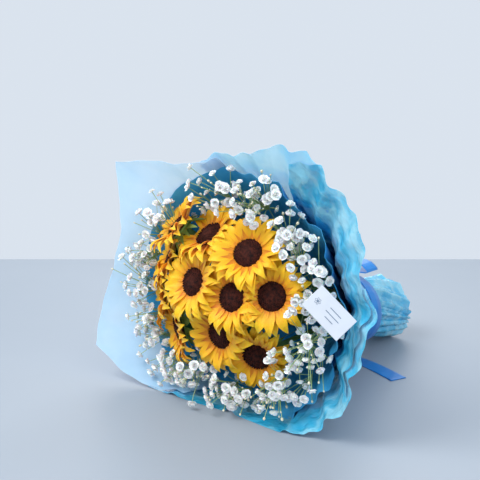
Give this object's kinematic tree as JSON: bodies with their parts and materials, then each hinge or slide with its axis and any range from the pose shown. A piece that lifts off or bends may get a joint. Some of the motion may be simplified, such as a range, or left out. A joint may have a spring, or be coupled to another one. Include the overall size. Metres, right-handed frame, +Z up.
{
  "type": "bunch of sunflowers",
  "caption": "Hand-tied bunch of sunflowers with baby's breath in flared blue wrapping sheets and film, with a satin ribbon bow and a small card, lying on its side.",
  "frame": {"origin": "middle of the underside of the bunch's bounding box, on the surface it lies on", "axes": "+Z up; the flowers face -Y and the cut stem ends point to +Y"},
  "size_m": [0.4308, 0.4392, 0.3435],
  "materials": {
    "petals": "soft satin petal",
    "seed_discs": "rough florets",
    "stems": "matte, finely hairy",
    "babys_breath": "matte",
    "matte_sheets": "matte non-woven",
    "frosted_sheet": "frosted, translucent",
    "pearl_film": "pearly crinkled film",
    "ribbon": "satin",
    "tie": "matte",
    "card": "smooth matte"
  },
  "bodies": {
    "root": {"flower_01_petals": "petals", "flower_01_seed_disc": "seed_discs", "flower_01_stem": "stems", "flower_02_petals": "petals", "flower_02_seed_disc": "seed_discs", "flower_02_stem": "stems", "flower_03_petals": "petals", "flower_03_seed_disc": "seed_discs", "flower_03_stem": "stems", "flower_04_petals": "petals", "flower_04_seed_disc": "seed_discs", "flower_04_stem": "stems", "flower_05_petals": "petals", "flower_05_seed_disc": "seed_discs", "flower_05_stem": "stems", "flower_06_petals": "petals", "flower_06_seed_disc": "seed_discs", "flower_06_stem": "stems", "flower_07_petals": "petals", "flower_07_seed_disc": "seed_discs", "flower_07_stem": "stems", "flower_08_petals": "petals", "flower_08_seed_disc": "seed_discs", "flower_08_stem": "stems", "flower_09_petals": "petals", "flower_09_seed_disc": "seed_discs", "flower_09_stem": "stems", "flower_10_petals": "petals", "flower_10_seed_disc": "seed_discs", "flower_10_stem": "stems", "flower_11_petals": "petals", "flower_11_seed_disc": "seed_discs", "flower_11_stem": "stems", "babys_breath_1": "babys_breath", "babys_breath_2": "babys_breath", "babys_breath_3": "babys_breath", "babys_breath_4": "babys_breath", "babys_breath_5": "babys_breath", "babys_breath_6": "babys_breath", "babys_breath_7": "babys_breath", "babys_breath_8": "babys_breath", "babys_breath_9": "babys_breath", "liner_sheet": "matte_sheets", "left_matte_sheet": "matte_sheets", "neck_matte_sheet": "matte_sheets", "top_frosted_sheet": "frosted_sheet", "right_pearl_film": "pearl_film", "lower_pearl_film": "pearl_film", "handle_pearl_film": "pearl_film", "ribbon_band": "ribbon", "ribbon_knot": "ribbon", "ribbon_loop_upper": "ribbon", "ribbon_loop_far": "ribbon", "ribbon_tail_near": "ribbon", "ribbon_tail_far": "ribbon", "stem_tie": "tie", "message_card": "card"}
  },
  "joints": []
}
